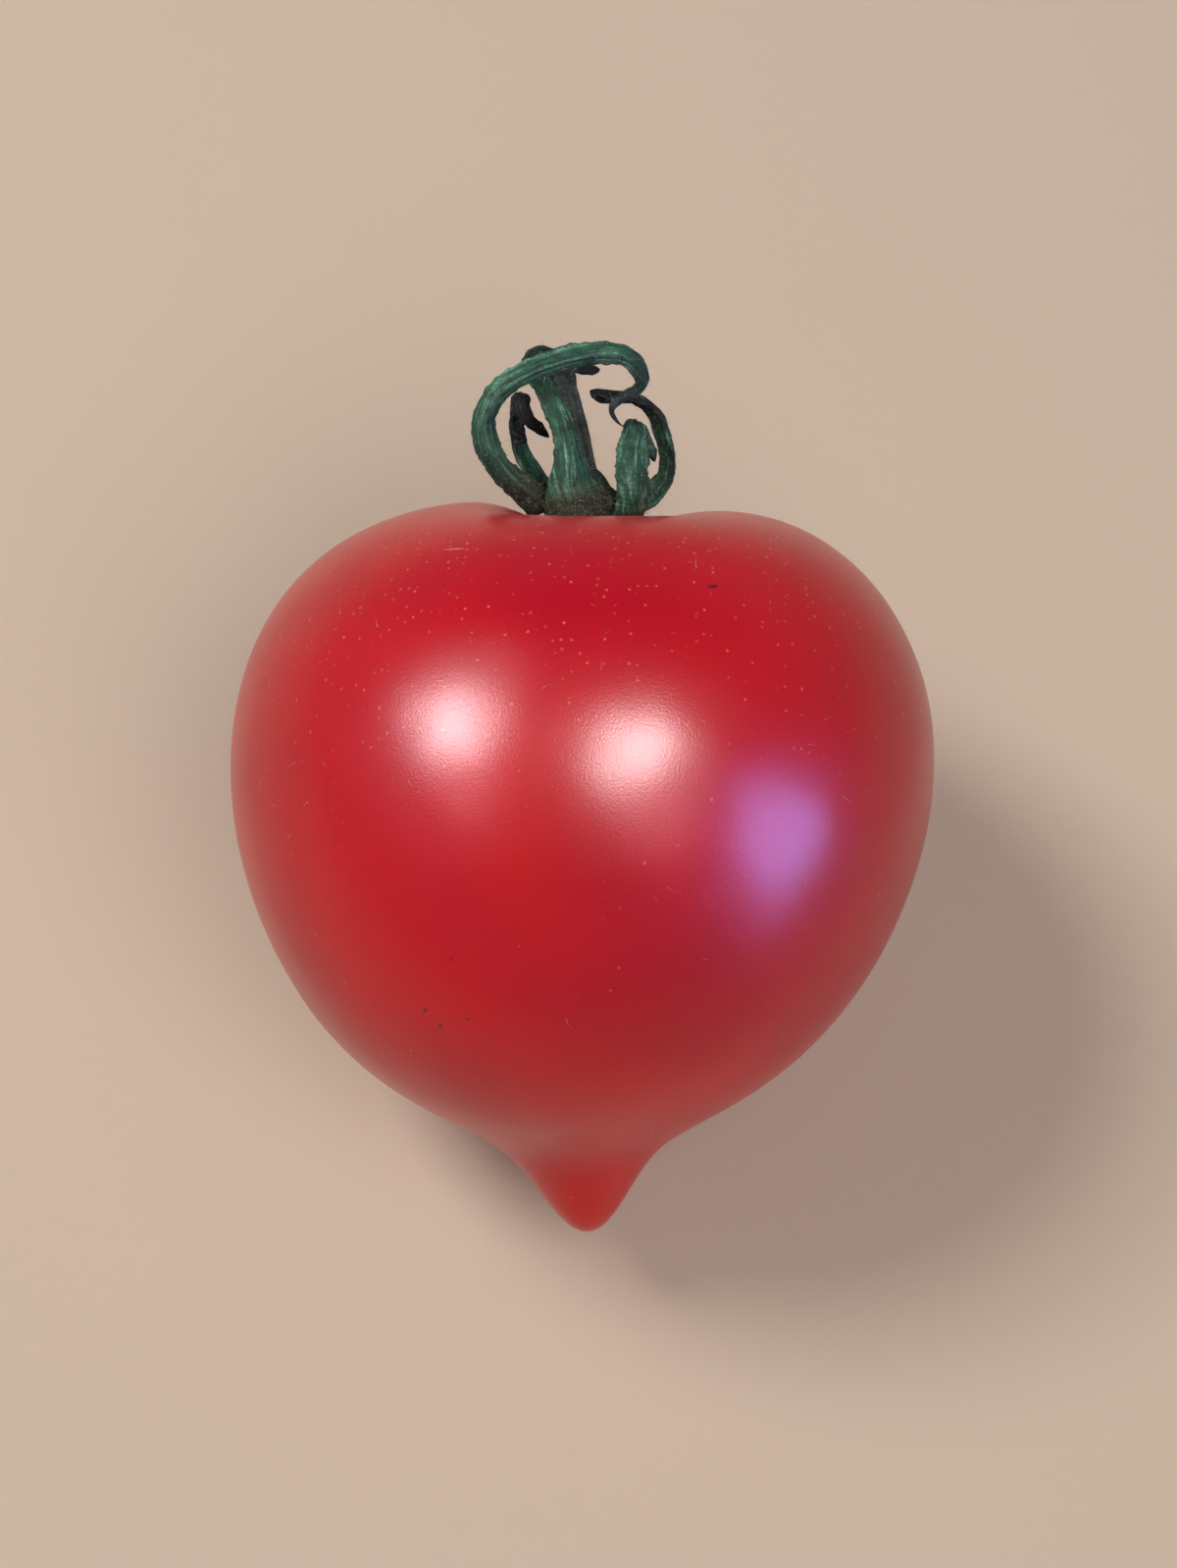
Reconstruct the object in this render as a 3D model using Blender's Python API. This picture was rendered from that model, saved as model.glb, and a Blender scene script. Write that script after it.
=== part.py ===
"""A small heart-shaped tomato lying on its side, with its short stem and five curled, drying sepals.

World frame: +Z up, the floor at Z = 0, the origin at the middle of the spot the fruit rests on,
-Y towards the fruit's tip and +Y towards its stem.
"""

import math

import bmesh
import bpy
from mathutils import Matrix, Quaternion, Vector

MM = 0.001

# The fruit is drawn in polar form about its heart: angle 0 points at the tip, 180 degrees at the stem.
BODY_WAVES = (17.41, -0.08, -0.51, 0.60, -0.24)  # mm, cosine terms: broad shoulders, tapering lower half
TIP_HEIGHT = 5.11  # mm that the pointed tip stands above the rounded body
TIP_SPREAD = 11.65  # degrees
TIP_POWER = 1.83
CAVITY_DEPTH = 3.03  # mm, the hollow that the stem grows from
CAVITY_SPREAD = 22.85  # degrees
RIM_ANGLE = 170.2  # degrees, the brow of the shoulders round the hollow
RIM_SPREAD = 14.5
TWO_LOBES = 0.90  # mm, the shoulders rise left and right and dip between
LEFT_LOBE = 0.64  # mm that the left shoulder stands above the right one
HOLLOW_FADE = 13.0  # degrees round the middle of the hollow where the lobes die away
RIBS = 5
RIB_HEIGHT = 0.10  # mm, faint ribs that fade out below the shoulders
LEAN = 0.425  # mm, the lower half leans to the left
LEAN_ANGLE = 29.0
LEAN_SPREAD = 51.0
TIP_SHIFT = 0.484  # mm, and the tip turns back to the right
TIP_SHIFT_SPREAD = 12.7

REST_TILT = 27.0  # degrees, tip down, where the fruit balances on its side
FLAT_DEPTH = 0.25  # mm pressed flat where it rests

FRUIT_RINGS = 46
RING_CROWDING = 1.3  # more than 1 crowds the rings towards the tip
FRUIT_SEGMENTS = 64

# The calyx is drawn from its seat, the bottom of the hollow: X right, Y along the stem, Z up, in mm.
STEM_ROUTE = (
    (0.35, 0.30, 0.0),
    (0.33, 1.40, 0.0),
    (0.20, 2.70, 0.0),
    (-0.15, 3.70, 0.0),
    (-0.45, 5.30, 0.0),
    (-0.85, 7.00, 0.05),
    (-1.35, 8.70, 0.20),
)
# (share of the way along, radius in mm): a swollen disc under the sepals, then a thin stem with a torn end
STEM_GIRTHS = (
    (0.0, 0.80),
    (0.03, 1.20),
    (0.07, 1.55),
    (0.11, 1.60),
    (0.15, 1.30),
    (0.22, 0.88),
    (0.35, 0.72),
    (0.88, 0.70),
    (0.96, 0.82),
    (1.0, 0.60),
)
STEM_SEGMENTS = 20
STEM_STEPS = 32

SEPAL_THICKNESS = 0.34
SEPAL_STEPS = 40
SEPAL_RING = 10  # points round one cross-section
SEPAL_CUP = 0.22  # how far the edges bend in, as a share of the width
FLARE_SHARE = 0.18  # the base flare has died away by this share of the blade

# Widths are in mm at the base, along the blade and at the tip; the taper starts at the given share.
# Rolls turn the blade about its own length at its base, middle and tip, in degrees.
SEPALS = {
    "sepal_front": {
        "route": (
            (0.10, 1.05, 2.30),
            (-0.30, 1.95, 2.60),
            (-0.60, 2.85, 2.80),
            (-0.70, 4.00, 2.88),
            (-1.00, 5.75, 2.50),
            (-1.80, 7.60, 1.75),
            (-2.45, 8.80, 1.05),
            (-2.42, 9.50, 0.25),
            (-1.90, 9.68, -0.40),
            (-1.30, 9.37, -0.90),
            (-0.60, 9.00, -1.10),
            (0.85, 8.75, -1.00),
        ),
        "outward": (0.0, 0.0, 1.0),
        "widths": (2.90, 1.25, 0.70),
        "taper_from": 0.60,
        "rolls": (0, 0, 50),
    },
    "sepal_front_left": {
        "route": (
            (-1.92, 1.60, 0.60),
            (-2.72, 2.25, 0.98),
            (-3.82, 3.20, 1.70),
            (-4.48, 4.05, 2.10),
            (-4.92, 5.15, 2.30),
            (-4.95, 6.20, 2.45),
            (-4.35, 7.35, 2.80),
            (-3.00, 8.30, 3.10),
            (-1.20, 9.02, 3.20),
            (0.90, 9.36, 3.05),
            (2.10, 9.20, 2.80),
            (2.75, 8.65, 2.50),
            (2.95, 7.90, 2.20),
            (2.45, 7.38, 2.10),
            (1.75, 7.05, 2.20),
            (1.40, 6.60, 2.35),
            (1.60, 6.10, 2.50),
            (2.05, 5.70, 2.60),
        ),
        "outward": (-0.85, 0.0, 0.5),
        "widths": (2.10, 1.10, 0.35),
        "taper_from": 0.66,
        "rolls": (30, 55, 20),
    },
    "sepal_back_left": {
        "route": (
            (-0.95, 0.90, -1.80),
            (-1.55, 1.75, -2.20),
            (-2.40, 3.05, -2.60),
            (-3.05, 4.50, -2.80),
            (-3.20, 6.10, -2.45),
            (-3.20, 7.00, -1.85),
            (-3.10, 7.40, -1.20),
            (-2.90, 7.30, -0.75),
            (-2.75, 6.75, -0.65),
            (-2.45, 6.20, -0.85),
            (-1.65, 5.35, -1.40),
        ),
        "outward": (-0.6, 0.0, -0.8),
        "widths": (2.20, 1.30, 0.70),
        "taper_from": 0.60,
        "rolls": (0, 10, 0),
    },
    "sepal_back_right": {
        "route": (
            (1.75, 1.12, -1.80),
            (2.80, 1.80, -1.90),
            (3.70, 2.50, -1.95),
            (4.25, 3.40, -1.85),
            (4.40, 4.65, -1.60),
            (4.02, 6.12, -1.10),
            (3.55, 6.80, -0.70),
            (3.00, 7.18, -0.40),
            (2.35, 7.38, -0.20),
            (1.60, 7.48, -0.10),
            (0.30, 7.66, -0.15),
        ),
        "outward": (0.75, 0.0, -0.6),
        "widths": (2.30, 1.20, 0.75),
        "taper_from": 0.55,
        "rolls": (0, -20, 0),
    },
    "sepal_front_right": {
        "route": (
            (2.60, 1.10, 0.60),
            (2.80, 1.80, 1.45),
            (2.80, 2.65, 2.05),
            (2.72, 3.60, 2.25),
            (2.72, 4.50, 2.10),
            (2.80, 5.35, 1.70),
            (2.85, 5.82, 1.20),
            (2.95, 5.85, 0.75),
            (3.15, 5.40, 0.35),
            (3.45, 4.70, 0.05),
            (3.62, 4.10, 0.10),
        ),
        "outward": (0.8, 0.0, 0.6),
        "widths": (2.30, 1.95, 0.95),
        "taper_from": 0.45,
        "rolls": (-10, -40, -20),
    },
}

SKIN = {"name": "tomato_skin", "color": (0.50, 0.012, 0.022, 1.0), "roughness": 0.32}
GREEN = {"name": "calyx_green", "color": (0.035, 0.085, 0.045, 1.0), "roughness": 0.75}


def bump(angle, centre, spread):
    """A smooth rise of height 1 round an angle, all in degrees."""
    return math.exp(-(((angle - centre) / spread) ** 2))


def flesh_radius(angle, around):
    """Millimetres from the heart to the skin, at degrees from the tip and degrees about the axis."""
    radius = sum(wave * math.cos(math.radians(angle) * n) for n, wave in enumerate(BODY_WAVES))
    radius += TIP_HEIGHT / (1.0 + (angle / TIP_SPREAD) ** 2) ** TIP_POWER
    radius -= CAVITY_DEPTH * bump(angle, 180.0, CAVITY_SPREAD)
    turn = math.radians(around)
    lobes = TWO_LOBES * math.cos(2.0 * turn) - LEFT_LOBE * math.cos(turn)
    lobes += RIB_HEIGHT * math.cos(RIBS * turn)
    fade = 1.0 - bump(angle, 180.0, HOLLOW_FADE)
    return radius + lobes * fade * bump(angle, RIM_ANGLE, RIM_SPREAD)


def flesh_point(angle, around):
    """A point of the skin in the fruit's own frame, in mm: heart at zero, +Y to the stem, +Z up."""
    radius = flesh_radius(angle, around)
    out = radius * math.sin(math.radians(angle))
    lean = TIP_SHIFT * bump(angle, 0.0, TIP_SHIFT_SPREAD) - LEAN * bump(angle, LEAN_ANGLE, LEAN_SPREAD)
    turn = math.radians(around)
    along = -radius * math.cos(math.radians(angle))
    return Vector((lean + out * math.cos(turn), along, out * math.sin(turn)))


def resting_frame():
    """The matrix that lays the fruit's own frame, in mm, on the floor, in metres."""
    turn = Matrix.Rotation(math.radians(REST_TILT), 4, "X")
    underside = [turn @ flesh_point(step * 0.25, -90.0) for step in range(721)]
    lowest = min(underside, key=lambda point: point.z)
    shift = Vector((-lowest.x, -lowest.y, -lowest.z - FLAT_DEPTH))
    return Matrix.Scale(MM, 4) @ Matrix.Translation(shift) @ turn


def seat():
    """The bottom of the stem hollow, in the fruit's own frame."""
    return flesh_point(180.0, 0.0)


def material(look):
    made = bpy.data.materials.new(look["name"])
    made.use_nodes = True
    shader = made.node_tree.nodes["Principled BSDF"]
    shader.inputs["Base Color"].default_value = look["color"]
    shader.inputs["Roughness"].default_value = look["roughness"]
    shader.inputs["Metallic"].default_value = 0.0
    made.diffuse_color = look["color"]
    return made


def add_object(name, mesh, frame, look):
    """Links a mesh whose points are in the given frame."""
    mesh.transform(frame)
    mesh.materials.append(look)
    mesh.shade_smooth()
    made = bpy.data.objects.new(name, mesh)
    bpy.context.scene.collection.objects.link(made)
    return made


def skin_rings(rings):
    """Joins rings of points, all of one length, into a tube: returns its bmesh and its loops of vertices."""
    tube = bmesh.new()
    loops = [[tube.verts.new(point) for point in ring] for ring in rings]
    count = len(rings[0])
    for lower, upper in zip(loops, loops[1:]):
        for n in range(count):
            after = (n + 1) % count
            tube.faces.new((lower[n], lower[after], upper[after], upper[n]))
    return tube, loops


def close_end(tube, loop, point):
    """Closes one end of a tube with a fan to a point."""
    middle = tube.verts.new(point)
    for n, vert in enumerate(loop):
        tube.faces.new((vert, loop[(n + 1) % len(loop)], middle))


def finish_mesh(tube, name):
    bmesh.ops.recalc_face_normals(tube, faces=tube.faces)
    mesh = bpy.data.meshes.new(name)
    tube.to_mesh(mesh)
    tube.free()
    return mesh


def make_fruit(frame, look):
    angles = [180.0 * (ring / FRUIT_RINGS) ** RING_CROWDING for ring in range(1, FRUIT_RINGS)]
    turns = [360.0 * n / FRUIT_SEGMENTS for n in range(FRUIT_SEGMENTS)]
    tube, loops = skin_rings([[flesh_point(angle, turn) for turn in turns] for angle in angles])
    close_end(tube, loops[0], flesh_point(0.0, 0.0))
    close_end(tube, loops[-1], seat())
    bmesh.ops.transform(tube, matrix=frame, verts=tube.verts)
    everything = tube.verts[:] + tube.edges[:] + tube.faces[:]
    cut = bmesh.ops.bisect_plane(
        tube, geom=everything, plane_co=(0, 0, 0), plane_no=(0, 0, -1), clear_outer=True
    )
    rim = [item for item in cut["geom_cut"] if isinstance(item, bmesh.types.BMEdge)]
    bmesh.ops.contextual_create(tube, geom=rim)
    return add_object("fruit", finish_mesh(tube, "fruit"), Matrix.Identity(4), look)


def spline(points, share):
    """A point of the Catmull-Rom curve through the points, at a share of its way from 0 to 1."""
    ends = [points[0] * 2 - points[1], *points, points[-1] * 2 - points[-2]]
    place = share * (len(points) - 1)
    first = min(int(place), len(points) - 2)
    t = place - first
    a, b, c, d = ends[first : first + 4]
    return 0.5 * (2 * b + (c - a) * t + (2 * a - 5 * b + 4 * c - d) * t**2 + (3 * b - a - 3 * c + d) * t**3)


def even_points(route, steps):
    """Points at equal distances along the smooth curve through a route."""
    fine = [spline([Vector(point) for point in route], n / 400) for n in range(401)]
    reach = [0.0]
    for before, after in zip(fine, fine[1:]):
        reach.append(reach[-1] + (after - before).length)
    points = []
    n = 0
    for step in range(steps + 1):
        wanted = reach[-1] * step / steps
        while n < 399 and reach[n + 1] < wanted:
            n += 1
        points.append(fine[n].lerp(fine[n + 1], (wanted - reach[n]) / (reach[n + 1] - reach[n])))
    return points


def carried_frames(points, outward):
    """(point, along, out) at each point: the outward direction is carried along with no twist."""
    frames = []
    out = Vector(outward)
    for n, point in enumerate(points):
        along = (points[min(n + 1, len(points) - 1)] - points[max(n - 1, 0)]).normalized()
        if frames:
            out = frames[-1][1].rotation_difference(along) @ out
        out = (out - along * out.dot(along)).normalized()
        frames.append((point, along, out))
    return frames


def between(values, share):
    """Reads a list of (share, value) pairs, with straight runs between them."""
    for (start, low), (end, high) in zip(values, values[1:]):
        if share <= end:
            return low + (high - low) * (share - start) / (end - start)
    return values[-1][1]


def make_stem(frame, look):
    rings = []
    frames = carried_frames(even_points(STEM_ROUTE, STEM_STEPS), (0, 0, 1))
    for n, (point, along, out) in enumerate(frames):
        side = along.cross(out)
        girth = between(STEM_GIRTHS, n / STEM_STEPS)
        turns = [2 * math.pi * k / STEM_SEGMENTS for k in range(STEM_SEGMENTS)]
        rings.append([point + (side * math.cos(turn) + out * math.sin(turn)) * girth for turn in turns])
    tube, loops = skin_rings(rings)
    close_end(tube, loops[0], frames[0][0])
    close_end(tube, loops[-1], frames[-1][0])
    return add_object("stem", finish_mesh(tube, "stem"), frame, look)


def sepal_width(plan, share):
    """The blade is widest at its base, even along the middle and narrow at its tip."""
    base, middle, tip = plan["widths"]
    flare = (base - middle) * math.exp(-((share / FLARE_SHARE) ** 2))
    taper = max(0.0, (share - plan["taper_from"]) / (1.0 - plan["taper_from"]))
    return middle + flare - (middle - tip) * taper**1.4


def sepal_ring(point, along, out, width):
    """One cross-section of a blade: a flat oval whose edges bend in, away from its outer face."""
    side = along.cross(out)
    ring = []
    for k in range(SEPAL_RING):
        turn = 2 * math.pi * k / SEPAL_RING
        across = math.cos(turn)
        height = 0.5 * SEPAL_THICKNESS * math.sin(turn) - SEPAL_CUP * width * across**2
        ring.append(point + side * (0.5 * width * across) + out * height)
    return ring


def make_sepal(name, plan, frame, look):
    rings = []
    frames = carried_frames(even_points(plan["route"], SEPAL_STEPS), plan["outward"])
    rolls = tuple(zip((0.0, 0.5, 1.0), plan["rolls"]))
    for n, (point, along, out) in enumerate(frames):
        share = n / SEPAL_STEPS
        rolled = Quaternion(along, math.radians(between(rolls, share))) @ out
        rings.append(sepal_ring(point, along, rolled, sepal_width(plan, share)))
    tube, loops = skin_rings(rings)
    close_end(tube, loops[0], sum(rings[0], Vector()) / len(rings[0]))
    close_end(tube, loops[-1], sum(rings[-1], Vector()) / len(rings[-1]))
    return add_object(name, finish_mesh(tube, name), frame, look)


def main():
    for obj in list(bpy.data.objects):
        bpy.data.objects.remove(obj)
    fruit_frame = resting_frame()
    calyx_frame = fruit_frame @ Matrix.Translation(seat())
    make_fruit(fruit_frame, material(SKIN))
    green = material(GREEN)
    make_stem(calyx_frame, green)
    for name, plan in SEPALS.items():
        make_sepal(name, plan, calyx_frame, green)


main()
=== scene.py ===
import math

import bmesh
import bpy
from mathutils import Matrix, Quaternion, Vector
from mathutils.bvhtree import BVHTree


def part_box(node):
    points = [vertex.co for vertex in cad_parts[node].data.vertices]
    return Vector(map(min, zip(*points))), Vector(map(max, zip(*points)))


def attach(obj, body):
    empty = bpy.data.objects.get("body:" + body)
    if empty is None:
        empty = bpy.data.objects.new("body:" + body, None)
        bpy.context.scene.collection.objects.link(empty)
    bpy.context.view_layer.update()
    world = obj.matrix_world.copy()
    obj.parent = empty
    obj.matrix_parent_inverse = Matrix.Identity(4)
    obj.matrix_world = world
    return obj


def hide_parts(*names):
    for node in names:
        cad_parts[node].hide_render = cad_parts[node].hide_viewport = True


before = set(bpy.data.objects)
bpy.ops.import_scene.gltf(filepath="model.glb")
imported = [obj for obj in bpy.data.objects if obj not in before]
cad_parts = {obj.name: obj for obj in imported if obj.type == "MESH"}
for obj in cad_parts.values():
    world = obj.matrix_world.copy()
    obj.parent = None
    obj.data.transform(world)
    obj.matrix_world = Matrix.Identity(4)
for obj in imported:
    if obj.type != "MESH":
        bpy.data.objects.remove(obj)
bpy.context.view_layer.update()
print("frame loaded:", sorted(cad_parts))

mm = 0.001


def hexToLinear(code):
    # sRGB hex to the linear colour that a shader socket takes
    steps = [int(code[place:place + 2], 16) / 255 for place in (1, 3, 5)]
    return (*[step / 12.92 if step <= 0.04045 else ((step + 0.055) / 1.055) ** 2.4
              for step in steps], 1.0)


def addNode(tree, kind, inputs=None, **settings):
    # one node, its settings, and its inputs as links or plain values
    node = tree.nodes.new(kind)
    for name, value in settings.items():
        setattr(node, name, value)
    for name, value in (inputs or {}).items():
        if isinstance(value, bpy.types.Node):
            value = value.outputs[0]
        if isinstance(value, bpy.types.NodeSocket):
            tree.links.new(value, node.inputs[name])
        else:
            node.inputs[name].default_value = value
    return node


def startTree(name, sockets):
    # a modifier tree with one named input for each size, and its group input node
    tree = bpy.data.node_groups.new(name, "GeometryNodeTree")
    tree.interface.new_socket(name="Geometry", in_out="OUTPUT", socket_type="NodeSocketGeometry")
    tree.interface.new_socket(name="Geometry", in_out="INPUT", socket_type="NodeSocketGeometry")
    for label, kind in sockets.items():
        tree.interface.new_socket(name=label, in_out="INPUT", socket_type=kind)
    return tree, addNode(tree, "NodeGroupInput").outputs


def endTree(tree, geometry, given):
    real = addNode(tree, "GeometryNodeRealizeInstances", {"Geometry": geometry})
    coated = addNode(tree, "GeometryNodeSetMaterial",
                     {"Geometry": real, "Material": given["Material"]})
    addNode(tree, "NodeGroupOutput", {"Geometry": coated})


def growMesh(name, base, tree, sizes):
    # runs a tree on a base mesh and keeps the result as a plain mesh object
    holder = bpy.data.objects.new(name + "_base", base)
    bpy.context.scene.collection.objects.link(holder)
    modifier = holder.modifiers.new("grow", "NODES")
    modifier.node_group = tree
    for item in tree.interface.items_tree:
        if item.in_out == "INPUT" and item.name in sizes:
            modifier[item.identifier] = sizes[item.name]
    graph = bpy.context.evaluated_depsgraph_get()
    graph.update()
    grown = bpy.data.meshes.new_from_object(holder.evaluated_get(graph), depsgraph=graph)
    grown.name = name
    holder.modifiers.clear()
    bpy.data.objects.remove(holder)
    return grown


def closeFaces(mesh):
    # joins doubled points and turns every face outwards
    shell = bmesh.new()
    shell.from_mesh(mesh)
    bmesh.ops.remove_doubles(shell, verts=shell.verts, dist=1e-7)
    bmesh.ops.recalc_face_normals(shell, faces=shell.faces)
    shell.to_mesh(mesh)
    shell.free()
    mesh.shade_smooth()


def addPiece(name, mesh, slot, *nodes):
    piece = bpy.data.objects.new(name, mesh)
    bpy.context.scene.collection.objects.link(piece)
    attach(piece, "root")
    if nodes:
        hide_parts(*nodes)
    print("made", name, "with", len(mesh.polygons), "faces")


def startMaterial(name):
    coat = bpy.data.materials.new(name)
    coat.use_nodes = True
    return coat, coat.node_tree, coat.node_tree.nodes["Principled BSDF"]


skinLook = {
    "scarlet": "#c4061b",
    "crimson": "#b5021f",  # the riper, bluer red of the cheeks
    "warmRed": "#cc1a0c",  # the tip, painted orange-red for light passing through its thin flesh, and a streak between the shoulders
    "fleck": "#e8755c",  # pale coral pinpricks of the shoulders
    "fleckSpacing": 0.38,  # mm
    "fleckRadius": 0.08,  # mm
    "mark": "#3c0d28",
    "scar": "#d98f83",
    "blush": 14.0,  # mm, size of the broad colour changes
    "pore": 0.11,  # mm, the cells that make a highlight look grainy
    "ragged": 0.20,  # mm, how coarse the edges of the marks are
    "dust": "#ffd9cf",
}

# small dark bruises and a pale rubbed scar: x and y in the fruit's own frame, half length and
# half width (all mm), turn (degrees) and which of the two it is
skinMarks = (
    (6.0, 11.2, 0.28, 0.15, 15.0, "mark"),
    (-7.4, -8.6, 0.14, 0.10, 0.0, "mark"),
    (-6.7, -9.4, 0.16, 0.09, 30.0, "mark"),
    (-6.1, -5.9, 0.12, 0.06, 60.0, "mark"),
    (-5.4, -8.9, 0.10, 0.08, 0.0, "mark"),
    (-6.05, 12.9, 0.60, 0.06, -8.0, "scar"),
)


def makeSkin(spots):
    # Tomato skin: a thin clear wax over cells full of red juice. Light goes in and spreads a little
    # before it comes back, the wax gives a wide soft shine with a brighter heart, and it looks
    # dusty where seen edge on.
    skin, tree, shader = startMaterial("waxy_tomato_skin")
    place = addNode(tree, "ShaderNodeTexCoord").outputs["Object"]
    fromTip = addNode(tree, "ShaderNodeAttribute", attribute_name="fromTip").outputs["Fac"]
    acrossAxis = addNode(tree, "ShaderNodeAttribute", attribute_name="acrossAxis").outputs["Fac"]

    blush = addNode(tree, "ShaderNodeTexNoise",
                    {"Vector": place, "Scale": 1 / (skinLook["blush"] * mm), "Detail": 2.0})
    blushShare = addNode(tree, "ShaderNodeMapRange",
                         {"Value": blush, "From Min": 0.35, "From Max": 0.65},
                         interpolation_type="SMOOTHSTEP")
    ground = addNode(tree, "ShaderNodeMix",
                     {"Factor": blushShare, "A": hexToLinear(skinLook["crimson"]),
                      "B": hexToLinear(skinLook["scarlet"])}, data_type="RGBA")

    # fromTip is 0 at the tip and 1 at the stem, and acrossAxis is mm to either side of the streak
    # painted light: the orange-red of the tip stands in for light passing through its thin flesh
    tipShare = addNode(tree, "ShaderNodeMapRange",
                       {"Value": fromTip, "From Min": 0.09, "From Max": 0.01, "To Max": 0.75},
                       interpolation_type="SMOOTHSTEP")
    streakSide = addNode(tree, "ShaderNodeMapRange",
                         {"Value": acrossAxis, "From Min": 4.0, "From Max": 0.0, "To Max": 0.45},
                         interpolation_type="SMOOTHSTEP")
    streakTop = addNode(tree, "ShaderNodeMapRange",
                        {"Value": fromTip, "From Min": 0.36, "From Max": 0.50},
                        interpolation_type="SMOOTHSTEP")
    streakFoot = addNode(tree, "ShaderNodeMapRange",
                         {"Value": fromTip, "From Min": 0.66, "From Max": 0.52},
                         interpolation_type="SMOOTHSTEP")
    streak = addNode(tree, "ShaderNodeMath", {0: streakTop, 1: streakFoot}, operation="MULTIPLY")
    streak = addNode(tree, "ShaderNodeMath", {0: streak, 1: streakSide}, operation="MULTIPLY")
    warm = addNode(tree, "ShaderNodeMath", {0: streak, 1: tipShare}, operation="MAXIMUM")
    warmed = addNode(tree, "ShaderNodeMix",
                     {"Factor": warm, "A": ground.outputs["Result"],
                      "B": hexToLinear(skinLook["warmRed"])}, data_type="RGBA")

    # flecks: thick at the shoulders, all but gone below the middle
    cell = addNode(tree, "ShaderNodeTexVoronoi",
                   {"Vector": place, "Scale": 1 / (skinLook["fleckSpacing"] * mm)})
    chance = addNode(tree, "ShaderNodeMapRange",
                     {"Value": fromTip, "From Min": 0.52, "From Max": 0.76, "To Min": 0.02,
                      "To Max": 0.7})
    rolled = addNode(tree, "ShaderNodeSeparateColor", {"Color": cell.outputs["Color"]})
    present = addNode(tree, "ShaderNodeMath", {0: rolled.outputs[0], 1: chance},
                      operation="LESS_THAN")
    reach = skinLook["fleckRadius"] / skinLook["fleckSpacing"]
    dot = addNode(tree, "ShaderNodeMapRange",
                  {"Value": cell.outputs["Distance"], "From Min": reach * 1.3,
                   "From Max": reach * 0.5, "To Max": 0.75}, interpolation_type="SMOOTHSTEP")
    strength = addNode(tree, "ShaderNodeMath", {0: present, 1: dot}, operation="MULTIPLY")
    varied = addNode(tree, "ShaderNodeMath", {0: strength, 1: rolled.outputs[1]},
                     operation="MULTIPLY")
    flecked = addNode(tree, "ShaderNodeMix",
                      {"Factor": varied, "A": warmed.outputs["Result"],
                       "B": hexToLinear(skinLook["fleck"])}, data_type="RGBA")
    colour = flecked.outputs["Result"]

    ragged = addNode(tree, "ShaderNodeTexNoise",
                     {"Vector": place, "Scale": 1 / (skinLook["ragged"] * mm), "Detail": 2.0})
    for spot, turn, length, width, kind in spots:
        # the mark's own coordinates, one at its edge
        near = addNode(tree, "ShaderNodeVectorMath", {0: place, 1: spot}, operation="SUBTRACT")
        turned = addNode(tree, "ShaderNodeVectorRotate", {"Vector": near, "Angle": -turn},
                         rotation_type="Z_AXIS")
        share = addNode(tree, "ShaderNodeVectorMath",
                        {0: turned, 1: (1 / length, 1 / width, 0.5 / length)}, operation="MULTIPLY")
        far = addNode(tree, "ShaderNodeVectorMath", {0: share}, operation="LENGTH").outputs["Value"]
        edge = addNode(tree, "ShaderNodeMath", {0: ragged, 1: 1.2, 2: far},
                       operation="MULTIPLY_ADD")
        amount = addNode(tree, "ShaderNodeMapRange",
                         {"Value": edge, "From Min": 1.7, "From Max": 1.1, "To Max": 0.8})
        colour = addNode(tree, "ShaderNodeMix",
                         {"Factor": amount, "A": colour, "B": hexToLinear(skinLook[kind])},
                         data_type="RGBA").outputs["Result"]
    tree.links.new(colour, shader.inputs["Base Color"])

    pores = addNode(tree, "ShaderNodeTexNoise",
                    {"Vector": place, "Scale": 1 / (skinLook["pore"] * mm), "Detail": 2.0})
    bump = addNode(tree, "ShaderNodeBump",
                   {"Height": pores, "Strength": 0.36, "Distance": 0.02 * mm})
    tree.links.new(bump.outputs[0], shader.inputs["Normal"])
    tree.links.new(bump.outputs[0], shader.inputs["Coat Normal"])

    dull = addNode(tree, "ShaderNodeMapRange", {"Value": blush, "To Min": 0.28, "To Max": 0.33})
    tree.links.new(dull.outputs[0], shader.inputs["Roughness"])
    shader.inputs["IOR"].default_value = 1.45
    shader.inputs["Subsurface Weight"].default_value = 0.20
    shader.inputs["Subsurface Radius"].default_value = (1.0, 0.22, 0.15)
    shader.inputs["Subsurface Scale"].default_value = 0.0015
    shader.inputs["Specular IOR Level"].default_value = 0.38
    shader.inputs["Coat Weight"].default_value = 0.22
    shader.inputs["Coat Roughness"].default_value = 0.26
    shader.inputs["Coat IOR"].default_value = 1.45
    shader.inputs["Sheen Weight"].default_value = 0.02
    shader.inputs["Sheen Roughness"].default_value = 0.3
    shader.inputs["Sheen Tint"].default_value = hexToLinear(skinLook["dust"])
    return skin


# The form in polar terms about the fruit's heart: 0 degrees points at the tip, 180 at the stem.
# Heights, lobes and shifts are in mm, spreads in degrees.
fruitPlan = {
    "waves": (17.41, -0.08, -0.51, 0.60, -0.24),  # cosine terms
    "Tip height": 5.11,
    "Tip spread": 11.65,
    "Tip power": 1.83,
    "Hollow depth": 3.03,
    "Hollow spread": 22.85,
    "Rim angle": 170.2,
    "Rim spread": 14.5,
    "Rim gap": 13.0,  # degrees, where the lobes fade into the hollow
    "Shoulder lobes": 0.90,
    "Five ribs": 0.10,
    "Left lobe": 0.64,
    "Lean": 0.425,
    "Lean angle": 29.0,
    "Lean spread": 51.0,
    "Tip shift": 0.484,
    "Shift spread": 12.7,
    "Unevenness": 0.12,
    "Streak offset": 2.6,  # to the left of the middle
    "Tilt": math.radians(27.0),
    "Detail": 7,
    "seatHeight": 13.11,  # from the heart to the bottom of the hollow
}


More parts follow.
